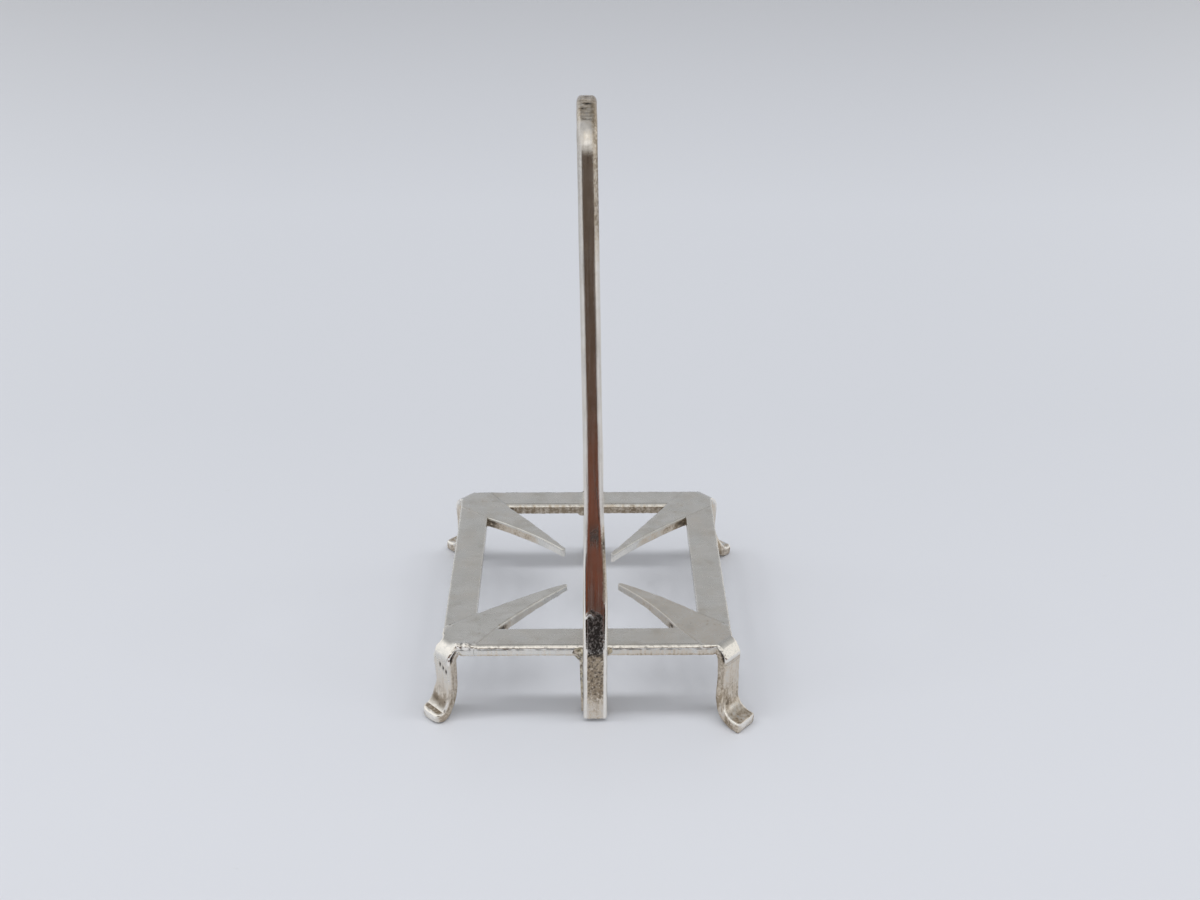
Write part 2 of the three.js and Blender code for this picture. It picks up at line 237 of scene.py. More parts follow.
def rounded_ring(half_wide, half_tall, radii, top_flat=0, flats=(22, 14), turn_steps=5):
    """Points round a rectangle with rounded corners, one row for each station.

    They start at the right end of the top and run counterclockwise. radii holds for each corner, top right,
    top left, bottom left and bottom right, how far it rounds across and up. top_flat turns the round of the
    top corners into a chamfer. Returns the offsets across and up.
    """
    across = []
    up = []
    corners = []
    for (sign_across, sign_up), (reach, rise) in zip(((1, 1), (-1, 1), (-1, -1), (1, -1)), radii):
        corners.append((sign_across * (half_wide - reach), sign_up * (half_tall - rise), reach, rise))
    for number, (centre_across, centre_up, reach, rise) in enumerate(corners):
        flat = top_flat if number < 2 else 0
        start_turn, end_turn = number * math.pi / 2, (number + 1) * math.pi / 2
        for step in range(turn_steps):
            share = step / turn_steps
            angle = mix(start_turn, end_turn, share)
            chord_across = mix(math.cos(start_turn), math.cos(end_turn), share)
            chord_up = mix(math.sin(start_turn), math.sin(end_turn), share)
            across.append(centre_across + reach * mix(math.cos(angle), chord_across, flat))
            up.append(centre_up + rise * mix(math.sin(angle), chord_up, flat))
        next_across, next_up, next_reach, next_rise = corners[(number + 1) % 4]
        cos, sin = math.cos(end_turn), math.sin(end_turn)
        start = (centre_across + reach * cos, centre_up + rise * sin)
        end = (next_across + next_reach * cos, next_up + next_rise * sin)
        flat_steps = flats[number % 2]
        for step in range(flat_steps):
            across.append(mix(start[0], end[0], step / flat_steps))
            up.append(mix(start[1], end[1], step / flat_steps))
    return np.stack(across, axis=1), np.stack(up, axis=1)


def loft_faces(rows, ring, flipped=False):
    """Quads between the rings of a loft and a cap at each end."""
    faces = []
    for row in range(rows - 1):
        for side in range(ring):
            a = row * ring + side
            b = row * ring + (side + 1) % ring
            faces.append((a, b, b + ring, a + ring))
    faces.append(tuple(range(ring))[::-1])
    faces.append(tuple(range((rows - 1) * ring, rows * ring)))
    return [corners[::-1] for corners in faces] if flipped else faces


def ripple(points, wavelength, seed):
    """Smooth noise from -1 to 1 at each point. wavelength is one number or one for each axis."""
    shift = Vector((seed * 17.3, seed * 5.1, seed * 9.7))
    scaled = np.asarray(points) / wavelength
    return np.array([noise.noise(Vector(point) + shift) for point in scaled])


def spots(values, gain, shift, most=1):
    """Noise made stronger and shifted, then kept between 0 and most."""
    return np.clip(values * gain + shift, 0, most)


def add_mesh(name, points, faces, tarnish, soot_and_shade, polish_and_highlight):
    """A mesh from points in millimetres, with how tarnished, sooty and rubbed bright it is at each point. The
    soot also carries painted shade and dark reflections, and the rubbing carries painted highlights.
    """
    mesh = bpy.data.meshes.new(name)
    mesh.from_pydata(np.asarray(points) * MM, [], faces)
    for mark, values in (("tarnish", tarnish), ("soot_and_shade", soot_and_shade), ("polish_and_highlight", polish_and_highlight)):
        attribute = mesh.attributes.new(mark, "FLOAT", "POINT")
        attribute.data.foreach_set("value", np.clip(values, 0, 2).astype(np.float32))
    mesh.polygons.foreach_set("use_smooth", [True] * len(mesh.polygons))
    mesh.update()
    mesh.set_sharp_from_angle(angle=SHARP_ANGLE)
    return add_object(name, mesh)


def normals_of(points, faces):
    """Normals at the points, from a mesh that is made for it and removed again."""
    mesh = bpy.data.meshes.new("normals")
    mesh.from_pydata(points, [], faces)
    mesh.update()
    normals = np.zeros(len(points) * 3)
    mesh.vertex_normals.foreach_get("vector", normals)
    bpy.data.meshes.remove(mesh)
    return normals.reshape(-1, 3)


def roughen(points, faces, layers, relief=0):
    """Moves the points along their normals by a relief and by layers of noise.

    A layer is an amplitude, a wavelength, a seed and a weight.
    """
    normals = normals_of(points, faces)
    offset = np.zeros(len(points)) + relief
    for amplitude, wavelength, seed, weight in layers:
        offset += amplitude * ripple(points, wavelength, seed) * weight
    return points + normals * offset[:, None]


def near(points, place, radius):
    """1 at a place, falling off to 0 round it. radius is one number or one for each axis."""
    distance = np.linalg.norm((points - np.array(place)) / radius, axis=1)
    return np.exp(-distance * distance)


def seam_place(inwards):
    """Where a corner strip's edge crosses, along the frame's edge from the frame's corner."""
    shoulder = SHOULDER_WIDTH / math.sqrt(2)
    base = (ARM_BASE_SETBACK + ARM_BASE_WIDTH / 2) / math.sqrt(2)
    base_inwards = (ARM_BASE_SETBACK - ARM_BASE_WIDTH / 2) / math.sqrt(2)
    slope = (base - shoulder) / base_inwards
    return shoulder + slope * inwards + SEAM_LINE * math.hypot(1, slope)


def face_place(points):
    """How far points lie along the nearest side of the frame, inwards from it and below its top.

    The last value numbers the sides from the front, counterclockwise from above.
    """
    x, y, z = points.T
    number = np.select([-y >= np.abs(x), x > np.abs(y), y >= np.abs(x)], [0, 1, 2], 3)
    turn = number * math.pi / 2
    along = x * np.cos(turn) + y * np.sin(turn)
    inwards = np.where(number % 2, HALF_WIDTH, HALF_DEPTH) - x * np.sin(turn) + y * np.cos(turn)
    return along, inwards, FRAME_TOP - z, number


def face_marks(points):
    """Relief, browning, soot and shine of the frame's outer face, which run on over its seams. The shine is
    partly a painted highlight along the top edge and a painted brighter front side, and the broken dark line
    under the edge is a painted dark reflection.
    """
    along, inwards, below, number = face_place(points)
    place = np.stack([along + 100 * number, inwards, below], axis=1)
    outside = smooth((0.3 - inwards) / 0.25)
    rubbed_and_highlight = np.array(RUBBED_AND_HIGHLIGHT)[number]
    dulled = 0.2 * smooth(along / 2) * (number == 0)
    arris = smooth((0.33 - below) / 0.06)
    under_arris = hump(below, 0.42, 0.08)
    lowest = smooth((below - 0.9) / 0.2)
    filed = ripple(place, (0.16, 2.0, 2.0), 203)
    blotch = ripple(place, 1.6, 206)
    broken = ripple(place, (0.5, 0.3, 0.3), 207)
    speck = ripple(place, (0.26, 0.3, 0.3), 208)
    relief = 0.03 * ripple(place, 0.9, 201) + 0.025 * ripple(place, 0.25, 202) + 0.014 * filed
    relief = relief + 0.05 * under_arris * ripple(place, 0.5, 204)
    tarnish = smooth((below - 0.3) / 0.3) * (0.04 + dulled + 0.3 * lowest + 0.2 * blotch + 0.4 * filed)
    # Painted dark reflection: a broken dark line under the top edge, and dark breaks in the edge's highlight
    soot_and_shade = (0.2 + 0.45 * rubbed_and_highlight) * under_arris * smooth(2.2 * broken + 0.5)
    soot_and_shade = soot_and_shade + rubbed_and_highlight * arris * spots(speck, 1.6, -0.2, 0.45)
    # Painted highlight along the top edge and a brighter front side, partly rubbed wear
    polish_and_highlight = rubbed_and_highlight * (0.35 + arris - 0.3 * lowest - dulled)
    return outside * relief, outside * tarnish, outside * soot_and_shade, outside * polish_and_highlight


def rail_points(length, width, arrises):
    """A rail along the front edge, its outer edge at y = 0 and its top at z = 0.

    arrises are the radii of its inner and its outer top edge.
    """
    outer = length / 2 - seam_place(0)
    inner = length / 2 - seam_place(width)
    rows = int(2 * outer / STEP)
    share = np.linspace(-1, 1, rows)
    radii = []
    for radius in (*arrises, FILED_EDGE, FILED_EDGE):
        radii.append((np.full(rows, radius), np.full(rows, radius)))
    across, up = rounded_ring(np.full(rows, width / 2), np.full(rows, SHEET / 2), radii, FILED_FLAT)
    inwards = width / 2 + across
    along = share[:, None] * mix(outer, inner, inwards / width)
    points = np.stack([along, inwards, up - SHEET / 2], axis=2)
    return points.reshape(-1, 3), across.shape


def add_rail(name, turn, arrises, seed):
    """A rail. turn numbers the frame's sides from the front, counterclockwise."""
    if turn % 2:
        length, width, reach = 2 * HALF_DEPTH, SIDE_RAIL_WIDTH, HALF_WIDTH
    else:
        length, width, reach = 2 * HALF_WIDTH, END_RAIL_WIDTH, HALF_DEPTH
    points, (rows, ring) = rail_points(length, width, arrises)
    faces = loft_faces(rows, ring)
    x, y, z = points.T
    inside = smooth((y - width + 0.3) / 0.25) * (name == "rail_rear")
    arris = smooth((z + 0.27) / 0.06)
    cos, sin = math.cos(turn * math.pi / 2), math.sin(turn * math.pi / 2)
    from_edge = y - reach
    world = np.stack([x * cos - from_edge * sin, x * sin + from_edge * cos, z + FRAME_TOP], axis=1)
    relief, face_tarnish, face_soot_and_shade, face_polish_and_highlight = face_marks(world)
    along = np.stack([x, y, z], axis=1)
    dashes = ripple(along, (0.4, 3.0, 3.0), seed + 8)
    speck = ripple(along, (0.26, 0.3, 0.3), seed + 9)
    relief = relief + inside * (0.02 * ripple(along, (0.16, 2.0, 2.0), seed + 3) + 0.015 * dashes)
    layers = [(0.015, 4.0, seed, 1), (0.025, 0.25, seed + 2, inside)]
    points = roughen(world, faces, layers, relief)
    blotch = ripple(points, 1.6, seed + 6)
    brown_base = smooth((-z - 0.26) / 0.15)
    shaded = smooth(dashes * 1.6 + 0.35)
    dulled = 0.05 * smooth(x / 3 - 1) * (turn < 2)
    tarnish = 0.04 + 0.08 * blotch + face_tarnish + dulled
    tarnish = tarnish + inside * mix(0.5 * shaded, 0.6 + 0.4 * shaded, brown_base)
    ends = smooth((np.abs(x) - length / 2 + 5.5) / 2)
    pits = spots(ripple(points, 0.42, seed + 7), 1.8, -0.8)
    soot_and_shade = 0.6 * dulled + ends * pits * 0.5 + face_soot_and_shade
    # Dark specks that break up the painted highlight on the rear rail's inner top edge
    soot_and_shade = soot_and_shade + 0.5 * inside * arris * spots(speck, 1.6, -0.1, 0.6)
    soot_and_shade = soot_and_shade + 0.12 * inside * brown_base
    # The outer face's shine, and a painted highlight in dashes along the rear rail's inner top edge
    polish_and_highlight = face_polish_and_highlight + inside * (1 - brown_base) * (0.6 - 0.4 * shaded) - soot_and_shade
    return add_mesh(name, points, faces, tarnish, soot_and_shade, polish_and_highlight)


def strip_line(corner):
    """The strip's middle line, as rows of reach outwards from the frame's corner, height and pitch."""
    bend_outer = BEND_INNER + SHEET
    bend_middle = BEND_INNER + SHEET / 2
    bend_out = LEG_PROUD - bend_outer
    rows = []
    for out in np.arange(-corner.arm_length, bend_out, STEP):
        rows.append((out, FRAME_TOP - SHEET / 2, 0))
    for pitch in np.linspace(0, math.pi / 2, int(bend_outer * math.pi / 2 / STEP * 1.5)):
        out = bend_out + bend_middle * math.sin(pitch)
        rows.append((out, FRAME_TOP - bend_outer + bend_middle * math.cos(pitch), pitch))
    leg = bend_out + bend_middle
    for height in np.arange(FRAME_TOP - bend_outer - STEP, KNEE_HEIGHT, -STEP):
        rows.append((leg, height, math.pi / 2))
    sole = SHEET / 2
    toe = corner.foot_reach - FOOT_FLAT
    curve = np.array([
        (leg, KNEE_HEIGHT),
        (leg, mix(KNEE_HEIGHT, sole, KNEE_EASE)),
        (mix(toe, leg, SOLE_EASE), sole),
        (toe, sole),
    ])
    for share in np.linspace(0, 1, 48):
        keep = 1 - share
        place = keep**3 * curve[0] + 3 * keep**2 * share * curve[1]
        place = place + 3 * keep * share**2 * curve[2] + share**3 * curve[3]
        slope = keep**2 * (curve[1] - curve[0]) + 2 * keep * share * (curve[2] - curve[1])
        slope = slope + share**2 * (curve[3] - curve[2])
        rows.append((place[0], place[1], math.atan2(-slope[1], slope[0])))
    for out in np.linspace(toe, corner.foot_reach, 12)[1:]:
        rows.append((out, sole, 0))
    return np.array(rows)


def strip_arrises(corner):
    """Radii of the strip's right and left top edge where they are the frame's own, widest at the front."""
    right = FRONT_ARRIS if corner.side == (-1, -1) else SIDE_ARRIS
    left = FRONT_ARRIS if corner.side == (1, -1) else SIDE_ARRIS
    return right, left


def strip_sections(corner, line):
    """Width, sideways shift, thickness, edge radii and toe rounding of the strip at every row of its line."""
    out, height, pitch = line.T
    length = corner.arm_length
    plate = (pitch == 0) & (height > FRAME_TOP / 2)
    arm = plate & (out < -ARM_BASE_SETBACK)
    share = np.clip((out + ARM_BASE_SETBACK) / (ARM_BASE_SETBACK - length), 0, 1)
    arm_width = mix(ARM_TIP_WIDTH, ARM_BASE_WIDTH, (1 - share) ** corner.arm_taper)
    base_width = np.interp(out, (-ARM_BASE_SETBACK, -SHOULDER_WIDTH / 2), (ARM_BASE_WIDTH, SHOULDER_WIDTH))
    outer_face = out + SHEET / 2 * np.sin(pitch)
    corner_width = np.maximum(LEG_WIDTH, -2 * outer_face)
    width = np.where(arm, arm_width, np.where(out < -SHOULDER_WIDTH / 2, base_width, corner_width))
    below = smooth((KNEE_HEIGHT - height) / (KNEE_HEIGHT - SHEET / 2))
    width = np.where(below > 0, mix(LEG_WIDTH, FOOT_WIDTH, below), width)
    shift = np.where(arm, corner.arm_shift * share + 4 * corner.arm_bow * share * (1 - share), 0)
    shift = shift + corner.foot_shift * below
    thickness = np.where(arm, mix(SHEET, corner.tip, share), SHEET)
    on_seam = smooth((out + ARM_BASE_SETBACK + 0.3) / 0.3) * smooth((-SHOULDER_WIDTH / 2 - out) / 0.2)
    edges = []
    for arris in (*strip_arrises(corner), FILED_EDGE, FILED_EDGE):
        edge = mix(corner.arm_edge, SEAM_EDGE, on_seam)
        edge = mix(edge, arris, smooth((out + SHOULDER_WIDTH / 2) / 0.05))
        edges.append(mix(edge, LEG_EDGE, smooth((FRAME_TOP - height - SHEET / 2 - 0.5) / 3)))
    end = np.clip((out - corner.foot_reach + corner.toe_round) / corner.toe_round, 0, 1)
    end = np.where(below > 0, end, 0)
    tip = np.where(arm, np.clip((-length + ARM_TIP_WIDTH / 2 - out) / (ARM_TIP_WIDTH / 2), 0, 1), 0)
    width = width * np.sqrt(1 - 0.6 * end**2) * np.sqrt(1 - 0.85 * tip**2)
    return width, shift, thickness, edges, end


def facet_depth(pitch):
    """How deep a chord across the bend cuts under its round outer face."""
    first, last = FACET_PITCHES
    middle = (first + last) / 2
    inside = np.clip(pitch, first, last)
    return (BEND_INNER + SHEET) * (1 - math.cos(last - middle) / np.cos(inside - middle))


def strip_points(corner, side):
    """A strip's points and faces before it is roughened, and ten values at each point. side is outwards."""
    line = strip_line(corner)
    out, height, pitch = line.T
    width, shift, thickness, edges, end = strip_sections(corner, line)
    half_tall = thickness / 2 * np.sqrt(1 - 0.5 * end**2)
    widest = 0.95 * np.minimum(width / 2, half_tall)
    radii = [(np.minimum(edge, widest), np.minimum(edge, widest)) for edge in edges]
    flat = FILED_FLAT * smooth((height - KNEE_HEIGHT) / (FRAME_TOP - SHEET - KNEE_HEIGHT))
    across, up = rounded_ring(width / 2, half_tall, radii, flat)

    # The crease that the bend opened in the strip's sides, fading out on the plate and down the leg
    bend = smooth((out + 1.6) / 1.0) * smooth((height - FRAME_TOP + 2.0) / 0.6)
    bent = bend[:, None]
    depth = half_tall[:, None] - up
    groove = hump(depth, 0.36 + 0.1 * bent, 0.06 + 0.09 * bent) * bent
    groove = groove * smooth((np.abs(across) / (width[:, None] / 2) - 0.8) / 0.15) * corner.crease
    across = across - np.sign(across) * groove * CREASE_DEPTH

    # The facet across the bend, and the folds below it
    outer = smooth((up - half_tall[:, None] + 0.25) / 0.2)
    up = up - corner.facet * outer * facet_depth(pitch)[:, None]
    fold = hump(height, FACET_END, 0.06) + 0.6 * hump(height, SECOND_FOLD, 0.05)
    fold = corner.facet * fold * (pitch > 1.2)
    up = up - outer * fold[:, None] * FACET_FOLD_DEPTH

    # From the strip's own directions to the frame's
    sideways = np.cross((0, 0, 1), side)
    lift = np.where(height > FRAME_TOP - SHEET, (SHEET - thickness) / 2, 0)
    middle = np.outer(out, side)
    middle[:, 2] += height + lift
    face = np.outer(np.sin(pitch), side)
    face[:, 2] = np.cos(pitch)
    points = middle[:, None, :] + (across + shift[:, None])[:, :, None] * sideways
    points = points + up[:, :, None] * face[:, None, :]
    frame_corner = np.array([corner.side[0] * HALF_WIDTH, corner.side[1] * HALF_DEPTH, 0])
    aside = across / width[:, None] * 2
    rows = [np.repeat(values, across.shape[1]) for values in (out, height, pitch, bend, fold, end)]
    cells = [values.reshape(-1) for values in (outer, depth, groove, aside)]
    return points.reshape(-1, 3) + frame_corner, loft_faces(*across.shape), rows + cells


def front_left_damage(points, outer):
    """How far points lie in the melted drops, in the folds beside them and in the leg's nicks."""
    damage = np.zeros((3, len(points)))
    for along in DROPS_ALONG:
        damage[0] += near(points, (along, DROP_INWARDS - HALF_DEPTH, FRAME_TOP), DROP_SIZE)
        place = (along + FOLD_ASIDE, DROP_INWARDS - HALF_DEPTH, FRAME_TOP - FOLD_LOWERED)
        damage[1] += near(points, place, FOLD_SIZE)
    for across_leg, height in NICKS:
        diagonal = across_leg * 0.7
        place = (-HALF_WIDTH - NICK_PROUD + diagonal, -HALF_DEPTH - NICK_PROUD - diagonal, height)
        damage[2] += near(points, place, NICK_SIZE) * outer
    return damage


def add_strip(name, corner, seed):
    """A corner strip: its arm, plate, bend, leg and foot."""
    side = np.array([*corner.side, 0]) / math.sqrt(2)
    points, faces, values = strip_points(corner, side)
    out, height, pitch, bend, fold, end, outer, depth, groove, aside = values
    leg = smooth((FRAME_TOP - SHEET / 2 - height) / 1.5)
    arm = smooth((-ARM_BASE_SETBACK - out) / 2) * (height > FRAME_TOP - 2)
    foot = smooth((3.0 - height) / 1.5)
    beside = smooth((np.abs(aside) - 0.78) / 0.15)
    outside = smooth((out + 2.5) / 0.15) * (1 - leg) * beside
    arris = hump(depth, 0.1, 0.2) * beside * bend
    lumpy = hump(depth, 0.1, 0.25) * beside * smooth((out + 3.6) / 0.8)
    lumpy = lumpy * smooth((height - FRAME_TOP + 2.0) / 0.6)
    relief, face_tarnish, face_soot_and_shade, face_polish_and_highlight = (outside * mark for mark in face_marks(points))
    drops, folds, nicks = front_left_damage(points, outer) * (corner.side == (-1, -1))
    relief = relief * (1 - drops) + drops * DROP_RISE - folds * FOLD_DEPTH
    layers = [
        (0.015, 4.0, seed, 1),
        (0.07, 1.7, seed + 1, leg),
        (0.025, 0.6, seed + 2, leg),
        (0.05, 1.1, seed + 3, arm),
        (0.14, 0.5, seed + 4, corner.lumps * lumpy + 0.15 * foot),
        (0.03, 0.22, seed + 5, corner.crease * arris + 0.2 * foot),
    ]
    points = roughen(points, faces, layers, relief)
    points -= np.outer(nicks * NICK_DEPTH, side)
    points[:, 2] = np.maximum(points[:, 2], 0)

    share_out = np.clip((out + corner.arm_length) / (corner.arm_length - ARM_BASE_SETBACK), 0, 1)
    blotch = ripple(points, 1.0, seed + 6)
    streaks = ripple(points, (0.28, 0.28, 2.2), seed + 7)
    flank = smooth((depth - 0.15) / 0.25)
    toe = smooth((end - 0.5) / 0.3)
    central = 1 - smooth((np.abs(aside) - 0.5) / 0.4)
    stained = smooth((corner.stain * aside - 0.3) / 0.3) * hump(height, 1.8, 0.9) * outer * (1 - toe)
    hollow = smooth((4.2 - height) / 2.2) * outer * central * (1 - toe)
    rim = outer * foot * np.maximum(beside, toe)
    arm_side = flank * (1 - leg) * smooth((-3.5 - out) / 0.5)
    dulled = (1 - leg) * (corner.side == (1, -1))
    low_leg = smooth((5.8 - height) / 3)
    foot_wear = 0.4 + corner.foot_brown
    cupped = foot_wear * hump(height, 1.6, 0.8) * outer * (1 - beside) * (1 - toe)
    uneven = foot_wear * (0.9 * hollow + 0.35 * low_leg * flank)
    tarnish = 0.04 + 0.08 * blotch + face_tarnish + 0.1 * dulled
    tarnish = tarnish + leg * (mix(corner.brown, corner.foot_brown, hollow) + 0.22 * flank * (1 - toe))
    tarnish = tarnish + (leg * 0.3 + low_leg * 0.4) * streaks * (1 - toe) + low_leg * 0.15
    tarnish = tarnish + uneven * blotch + 0.3 * stained + 0.6 * cupped
    tarnish = tarnish + corner.arm_marks * arm_side * mix(0.1, 0.9, share_out) * (0.8 + 0.5 * blotch)
    near_seam = smooth((out + 8) / 1.5) * smooth((-2.5 - out) / 1.0) * (1 - leg)
    pits = spots(ripple(points, 0.42, seed + 8), 1.8, -0.8)
    spotted = spots(ripple(points, 0.35, seed + 11), 1.5, -0.1, 0.6)
    # Painted shadow on the arm's sides at its root
    arm_root_shadow = hump(out, -ARM_BASE_SETBACK - 0.7, 0.6) * flank * (1 - leg)
    # The crease in the bend's sides is painted dark as shade
    soot_and_shade = groove * 1.5 + near_seam * pits * 0.5 + nicks * 1.6 + face_soot_and_shade
    soot_and_shade = soot_and_shade + 0.04 * dulled + (0.2 * hollow + 0.8 * stained + 0.2 * low_leg * flank) * spotted
    soot_and_shade = soot_and_shade + fold * outer * 0.45 + 0.3 * cupped * (0.7 + blotch)
    soot_and_shade = soot_and_shade + 0.1 * arm_side * (1 - corner.arm_marks)
    soot_and_shade = soot_and_shade + arm_root_shadow * spots(ripple(points, 0.4, seed + 12), 1, 0.45, 0.8)
    # The melted drops are kept clean, and the folds beside them are painted dark as shade
    soot_and_shade = soot_and_shade * (1 - np.clip(drops, 0, 1)) + 0.7 * folds
    faceted = corner.facet * outer * smooth((height - FACET_END) / 0.1) * bend
    tip_worn = corner.arm_marks * arm_side * smooth((0.45 - share_out) / 0.3)
    # Painted highlights, partly rubbed wear: along the bend's edge and its lumps, on the foot's rim and toe,
    # on the facet, down the leg's face, in a band round the bend and on the melted drops
    polish_and_highlight = 1.3 * arris + 0.8 * corner.lumps * lumpy + 0.9 * rim + 0.5 * toe * foot + 0.7 * faceted
    polish_and_highlight = polish_and_highlight + (0.5 - corner.brown) * leg * (1 - hollow) * (1 - 0.6 * flank) + face_polish_and_highlight
    polish_and_highlight = polish_and_highlight + 1.1 * corner.lumps * hump(pitch, 0.75, 0.45) * outer * (1 - beside)
    polish_and_highlight = polish_and_highlight + tip_worn * (0.8 + 0.4 * blotch) + 1.6 * drops - soot_and_shade
    tarnish = tarnish - polish_and_highlight * (1 - outside) * (1 - leg * (1 - rim))
    return add_mesh(name, points, faces, tarnish, soot_and_shade, polish_and_highlight)


def hoop_line():
    """The hoop's middle line from the front end to the rear end: y, z and tilt of its outer face."""
    foot = HALF_DEPTH + SEAM + HOOP_THICKNESS / 2
    kink = FRAME_TOP + KINK_RISE
    crown = HOOP_TOP - CROWN_RADIUS
    crown_middle = CROWN_RADIUS - HOOP_THICKNESS / 2
    rise = crown - kink
    lean = math.atan2(foot, rise) - math.asin(crown_middle / math.hypot(foot, rise))
    kink_reach = KINK_RADIUS * math.tan(lean / 2)
    half = [(-foot, z, 0) for z in np.arange(HOOP_END, kink - kink_reach - STEP / 2, STEP)]
    for tilt in np.linspace(0, lean, 6):
        y = -foot + KINK_RADIUS * (1 - math.cos(tilt))
        half.append((y, kink - kink_reach + KINK_RADIUS * math.sin(tilt), tilt))
    start = np.array(half[-1][:2])
    end = np.array([-crown_middle * math.cos(lean), crown + crown_middle * math.sin(lean)])
    steps = int(np.linalg.norm(end - start) / STEP)
    for share in np.linspace(0, 1, steps)[1:]:
        half.append((*mix(start, end, share), lean))
    for tilt in np.linspace(lean, math.pi / 2, 80)[1:]:
        half.append((-crown_middle * math.cos(tilt), crown + crown_middle * math.sin(tilt), tilt))
    rear = [(-y, z, math.pi - tilt) for y, z, tilt in half[-2::-1]]
    return np.array(half + rear)


def hoop_middle(height):
    """How far right the hoop's middle line is."""
    lifted = np.maximum(0, height - FRAME_TOP - LEAN_RISE)
    return HOOP_OFFSET - lifted * math.tan(HOOP_LEAN)


def hoop_points():
    """The hoop's points and faces before it is roughened, and five values at each point."""
    y, z, tilt = hoop_line().T
    narrow = smooth((z - FRAME_TOP - TAPER_RISE) / TAPER_LENGTH)
    half_wide = mix(HOOP_END_WIDTH, HOOP_CROWN_WIDTH, narrow) / 2
    edge = mix(HOOP_END_EDGE, HOOP_BAR_EDGE, narrow)
    rounder = smooth((z - CROWN_ROUNDING_START) / CROWN_ROUNDING_LENGTH)
    half_tall = np.full(len(y), HOOP_THICKNESS / 2)
    radii = [(mix(edge, HOOP_CROWN_EDGE, rounder), mix(edge, HOOP_CROWN_RISE, rounder))] * 4
    across, up = rounded_ring(half_wide, half_tall, radii, flats=(20, 6), turn_steps=8)
    face = np.stack([np.zeros(len(y)), -np.cos(tilt), np.sin(tilt)], axis=1)
    points = np.stack([hoop_middle(z), y, z], axis=1)[:, None, :] + up[:, :, None] * face[:, None, :]
    points[:, :, 0] += across
    faces = loft_faces(*across.shape, flipped=True)
    ring = across.shape[1]
    turned = np.degrees(np.repeat(np.minimum(tilt, math.pi - tilt), ring))
    outer = smooth((up.reshape(-1) - HOOP_THICKNESS / 2 + 0.4) / 0.25)
    front = outer * (np.repeat(y, ring) < 0)
    return points.reshape(-1, 3), faces, (across.reshape(-1), np.repeat(z, ring), turned, outer, front)


def scale_and_dark_reflection(side, height, front, blotch, speck):
    """Black scale on the front above the kink, which also paints the dark reflection there, and the upper rim
    of a small blister at its upper left.
    """
    scale_top = FRAME_TOP + SCALE_ABOVE_FRAME + blotch + 0.3 * hump(side, -0.6, 0.5)
    scale = smooth((height - SCALE_FOOT - 0.4 * blotch) / 0.6) * smooth((scale_top - height) / 0.5)
    scale = scale * smooth((side + SCALE_LEFT + 0.06 * speck) / 0.1)
    scale = scale * smooth((SCALE_RIGHT - side + 0.08 * speck) / 0.1) * front
    distance = np.hypot(side - BLISTER_ACROSS, (height - BLISTER_HEIGHT) / BLISTER_STRETCH)
    blister = hump(distance, BLISTER_RADIUS, BLISTER_RIM)
    blister = blister * smooth((height - (BLISTER_HEIGHT - 0.1)) / 0.4) * front
    return scale * (1 - 0.7 * blister), blister


